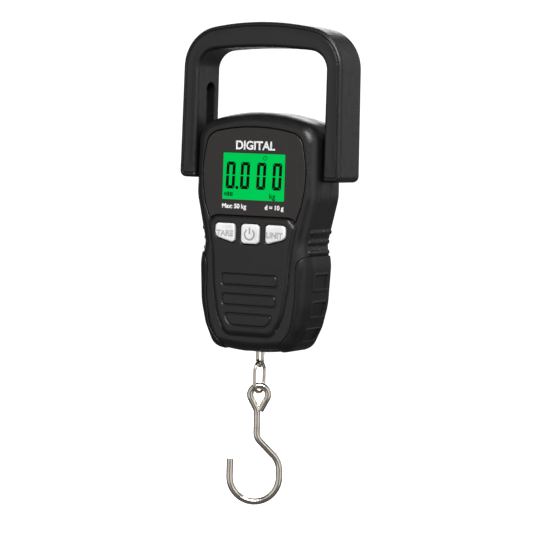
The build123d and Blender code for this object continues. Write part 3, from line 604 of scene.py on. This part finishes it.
def make_lens():
    """Dark window with an opening, and the lit panel just behind its face."""
    grid = Grid((-34, -18.8, -100), (34, -15.4, -45), WINDOW_STEP)
    lens = grid.front(lens_loop)
    solid = slab(lens + 0.05, grid.gy, CASE_FRONT - 0.05, LENS_BACK - 0.1, 0.5, 0.4)
    view = block(19.4, -60.5, -86.3, 0.4)
    solid = cut(solid, np.maximum(grid.front(view), grid.gy - LENS_BACK - 1), 0.1)
    moulded("window_pane", solid, grid, lens_black, "case_body", "window_gloss", "display_window")
    panel = plate("display_panel", block(20, -60, -87, 0.3), PANEL_FRONT, PANEL_BACK, lcd_green)
    place(panel, "case_body", "display_green", "lcd_glass")


def segment_shapes(left):
    """Six lit segments of a zero: two flat ones and four uprights, with slanted ends."""
    top, bottom = DIGIT_TOP, DIGIT_TOP - DIGIT_HEIGHT
    middle, right = top - DIGIT_HEIGHT / 2, left + DIGIT_WIDTH
    stroke, inset = DIGIT_STROKE, SEGMENT_INSET

    def leaned(points):
        return [(x + (z - middle) * DIGIT_LEAN, z) for x, z in points]

    shapes = []
    sweep = stroke * 0.75
    for z0, z1 in ((top, top - stroke), (bottom, bottom + stroke)):
        shapes.append(leaned([(left + inset, z0), (right - inset, z0), (right - sweep - inset, z1),
                              (left + sweep + inset, z1)]))
    end_in = stroke * 0.85
    for x0, inward in ((left, 1), (right, -1)):
        x1 = x0 + inward * stroke
        z0, z1 = top - inset, middle + SEGMENT_GAP
        shapes.append(leaned([(x0, z0), (x1, z0 - end_in), (x1, z1), (x0, z1)]))
        z0, z1 = middle - SEGMENT_GAP, bottom + inset
        shapes.append(leaned([(x0, z0), (x1, z0), (x1, z1 + end_in), (x0, z1)]))
    return shapes


def flat_shapes(name, shapes, front, made, body, slot):
    """Several thin printed shapes as one piece."""
    back = front + PRINT_THICKNESS
    verts, faces = [], []
    for shape in shapes:
        count, start = len(shape), len(verts)
        verts += [(x, front, z) for x, z in shape] + [(x, back, z) for x, z in shape]
        faces.append([start + i for i in range(count)])
        faces.append([start + count + i for i in reversed(range(count))])
        for i in range(count):
            j = (i + 1) % count
            faces.append([start + i, start + count + i, start + count + j, start + j])
    piece = add_mesh(name, verts, faces, made, smooth=False)
    shell = bmesh.new()
    shell.from_mesh(piece.data)
    bmesh.ops.recalc_face_normals(shell, faces=shell.faces)
    shell.to_mesh(piece.data)
    shell.free()
    return place(piece, body, slot)


def circle_points(x, z, radius, start=0, end=360, pieces=24):
    """Points round an arc, in degrees from +X."""
    angles = np.radians(np.linspace(start, end, pieces + 1))
    return [(x + radius * cos(a), z + radius * sin(a)) for a in angles]


def ring_shape(x, z, outer, inner, start=0, end=360, pieces=24):
    """Closed band between two radii."""
    return circle_points(x, z, outer, start, end, pieces) + circle_points(x, z, inner, end, start, pieces)


def make_display():
    """Zeros, point and small signs, printed in front of the lit panel."""
    surface_y = CASE_FRONT + 0.31
    shapes = []
    for left in DIGIT_LEFTS:
        shapes += segment_shapes(left)
    shapes.append(circle_points(-10.4, -79.7, 0.95, pieces=16)[:-1])
    flat_shapes("display_digits", shapes, surface_y, ink_black, "case_body", "display_green")
    stable_sign = ring_shape(6.9, -62.9, 1.25, 0.9, 0, 350)
    battery_tip = [(-18.7, (BATTERY_TOP + BATTERY_BOTTOM) / 2), (-17.4, BATTERY_TOP), (-17.4, BATTERY_BOTTOM)]
    signs = [stable_sign, battery_tip]
    for bar in range(4):
        left = -16.9 + bar * 1.05
        right = left + 0.7
        signs.append([(left, BATTERY_TOP), (right, BATTERY_TOP), (right, BATTERY_BOTTOM),
                      (left, BATTERY_BOTTOM)])
    flat_shapes("display_icons", signs, surface_y, ink_faint, "case_body", "display_green")
    lettering("display_unit", "kg", (9.9, -85.2), 4.4, surface_y + 0.03, ink_faint, 0.07)


def lettering(name, words, corner, size, front, made, weight=0.0, body="case_body", slot="display_green",
              align="LEFT", outline=0.0):
    """Printed letters or numbers, facing -Y, solid or as an outline of this thickness."""
    text = bpy.data.curves.new(name, "FONT")
    text.body = words
    text.size = size * MM
    text.align_x = align
    text.offset = weight * MM
    text.extrude = LETTER_HALF_THICKNESS * MM
    if outline:
        text.fill_mode = "NONE"
        text.extrude = 0
        text.bevel_depth = outline * MM
        text.bevel_resolution = 1
    holder = bpy.data.objects.new(name + "_curve", text)
    bpy.context.scene.collection.objects.link(holder)
    bpy.context.view_layer.update()
    mesh = bpy.data.meshes.new_from_object(holder.evaluated_get(bpy.context.evaluated_depsgraph_get()))
    bpy.data.objects.remove(holder)
    stand = Matrix.Translation((corner[0] * MM, front * MM, corner[1] * MM))
    mesh.transform(stand @ Matrix.Rotation(pi / 2, 4, "X"))
    mesh.materials.clear()
    mesh.materials.append(made)
    piece = bpy.data.objects.new(name, mesh)
    bpy.context.scene.collection.objects.link(piece)
    return place(piece, body, slot)


def make_keys():
    """Three pale keys with grey marks: outlined words and the power sign."""
    for word, loop in (("tare", flip(outer_key_loop)), ("power", power_loop), ("unit", outer_key_loop)):
        low_x, high_x = loop[:, 0].min() - 1, loop[:, 0].max() + 1
        grid = Grid((low_x, -21.6, KEY_BOTTOM - 1), (high_x, -14.5, KEY_TOP + 1), KEY_STEP)
        solid = slab(grid.front(loop), grid.gy, KEY_FACE, KEY_BACK, 1.0, 0.9)
        moulded(f"key_cap_{word}", solid, grid, key_white, f"key_{word}_body", "key_plastic", f"key_{word}")
    for word, middle in (("tare", -15.6), ("unit", 15.6)):
        lettering(f"key_mark_{word}", word.upper(), (middle, -106.6), 4.4, KEY_FACE + 0.12, ink_grey, 0.0,
                  f"key_{word}_body", "key_plastic", "CENTER", 0.21)
    bar = [(-0.45, -101.4), (0.45, -101.4), (0.45, -105.0), (-0.45, -105.0)]
    power = [ring_shape(0, -105.2, 3.4, 2.5, 125, 415, 40), bar]
    flat_shapes("key_mark_power", power, KEY_FACE - 0.04, ink_grey, "key_power_body", "key_plastic")


def make_printing():
    """White print on the window: each row is name, words, place, size, weight and alignment."""
    for name, words, corner, size, weight, align in (
        ("print_name", "DIGITAL", (0.6, -58.3), 6.6, 0.2, "CENTER"),
        ("print_range", "Max: 50 kg", (-19.4, -91.2), 3.5, 0.13, "LEFT"),
        ("print_step", "d = 10 g", (19.4, -91.2), 3.5, 0.13, "RIGHT"),
    ):
        lettering(name, words, corner, size, CASE_FRONT - PRINT_RISE, ink_white, weight, "case_body",
                  "window_gloss", align)


# ---------------------------------------------------------------- carried-over CAD pieces

CAD_FINISH = {
    nickel: ("hook", "chain_link_upper", "chain_link_lower", "eye_bolt", "battery_contacts",
             "battery_springs"),
    zinc: ("board_screws", "load_cell_screws", "load_yoke", "shoe_screws", "lock_nut", "case_screws"),
    aluminium: ("load_cell",),
    board_green: ("circuit_board",),
    epoxy: ("controller_chip", "tact_switches", "plunger_tare", "plunger_power", "plunger_unit"),
    frame_white: ("lcd_frame", "backlight"),
    foil: ("strain_gauges",),
    sleeve: ("battery_upper", "battery_lower"),
    grip_black: ("zebra_strip", "slide_shoe_left", "slide_shoe_right"),
    black: ("battery_door",),
}


def finish_cad_pieces():
    """Gives every piece that keeps its CAD mesh its own material."""
    for made, names in CAD_FINISH.items():
        for name in names:
            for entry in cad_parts[name].material_slots:
                entry.material = made


# ---------------------------------------------------------------- studio and camera


def make_camera():
    """Long lens, a little above the case's middle and 28 degrees to the reader's right."""
    camera = bpy.data.objects.new("camera", bpy.data.cameras.new("camera"))
    bpy.context.scene.collection.objects.link(camera)
    turn, dip, roll, distance = radians(28), radians(3.5), radians(1.75), 1.3
    right = Vector((cos(turn), sin(turn), 0))
    target = Vector((0, -3.7, -123.6)) * MM + right * 2.1 * MM
    towards = Vector((-sin(turn) * cos(dip), cos(turn) * cos(dip), -sin(dip)))
    camera.location = target - towards * distance
    camera.rotation_mode = "QUATERNION"
    level = towards.to_track_quat("-Z", "Y")
    camera.rotation_quaternion = level @ Matrix.Rotation(roll, 3, "Z").to_quaternion()
    camera.data.sensor_width = 36
    camera.data.lens = 156.8
    camera.data.clip_start, camera.data.clip_end = 0.05, 20
    bpy.context.scene.camera = camera


# name, place in metres, height aimed at, width, height and power in watts
LIGHTS = (
    ("key_light", (0.9, -1.3, 1.0), -0.1, 1.0, 1.0, 38),
    ("left_panel", (-0.58, -1.91, 0.1), -0.1, 2.8, 2.4, 11),
    ("right_panel", (1.91, -0.58, 0.1), -0.1, 1.5, 2.2, 9),
    ("side_light", (1.4, 0.75, 0.1), -0.1, 0.5, 1.4, 1.5),
    ("back_panel", (0.9, 1.7, 0.5), -0.05, 1.2, 1.6, 2.2),
    ("top_light", (0.7, 0.15, 1.3), -0.1, 0.35, 0.35, 5),
    ("rear_light", (-1.3, 1.7, 0.6), -0.1, 1.8, 1.8, 26),
)
WORLD_LIGHT = 0.12
FLOOR_Z, ROOM_REACH, ROOM_TOP = -420, 5000, 4000


def area_light(name, place_at, aim_z, width, height, power):
    """Rectangular soft light turned towards the middle of the object."""
    lamp = bpy.data.lights.new(name, "AREA")
    lamp.energy = power
    lamp.shape = "RECTANGLE"
    lamp.size = width
    lamp.size_y = height
    holder = bpy.data.objects.new(name, lamp)
    holder.location = place_at
    holder.rotation_mode = "QUATERNION"
    holder.rotation_quaternion = (Vector((0, 0, aim_z)) - Vector(place_at)).to_track_quat("-Z", "Y")
    bpy.context.scene.collection.objects.link(holder)


def make_studio():
    """Soft lights, a pale floor, and four pale walls and a ceiling so that every view has the same ground."""
    scene = bpy.context.scene
    scene.view_settings.view_transform = "Standard"
    world = bpy.data.worlds.new("studio")
    scene.world = world
    world.use_nodes = True
    ground = world.node_tree.nodes["Background"]
    ground.inputs["Color"].default_value = (1, 1, 1, 1)
    ground.inputs["Strength"].default_value = WORLD_LIGHT
    for row in LIGHTS:
        area_light(*row)
    paper = material("pale_floor", (0.9, 0.9, 0.9), 0.8)
    vary(paper, noise(paper, 8, 2), "Roughness", 0.75, 0.85)
    shader = paper.node_tree.nodes["Principled BSDF"]
    shader.inputs["Emission Color"].default_value = (1, 1, 1, 1)
    shader.inputs["Emission Strength"].default_value = 1.0
    corners = [(-ROOM_REACH, -ROOM_REACH), (ROOM_REACH, -ROOM_REACH), (ROOM_REACH, ROOM_REACH),
               (-ROOM_REACH, ROOM_REACH)]
    verts = [(x, y, z) for z in (FLOOR_Z, ROOM_TOP) for x, y in corners]
    floor = add_mesh("studio_floor", verts[:4], [[0, 1, 2, 3]], paper, smooth=False)
    sides = [[i, (i + 1) % 4, (i + 1) % 4 + 4, i + 4] for i in range(4)]
    walls = add_mesh("studio_walls", verts, sides + [[4, 5, 6, 7]], paper, smooth=False)
    for sheet in (floor, walls):
        sheet.visible_diffuse = False
        sheet.visible_glossy = False
        sheet.visible_shadow = False


make_camera()
make_studio()
make_handle()
make_front_case()
make_rear_case()
make_grips()
make_lens()
make_display()
make_keys()
make_printing()
finish_cad_pieces()
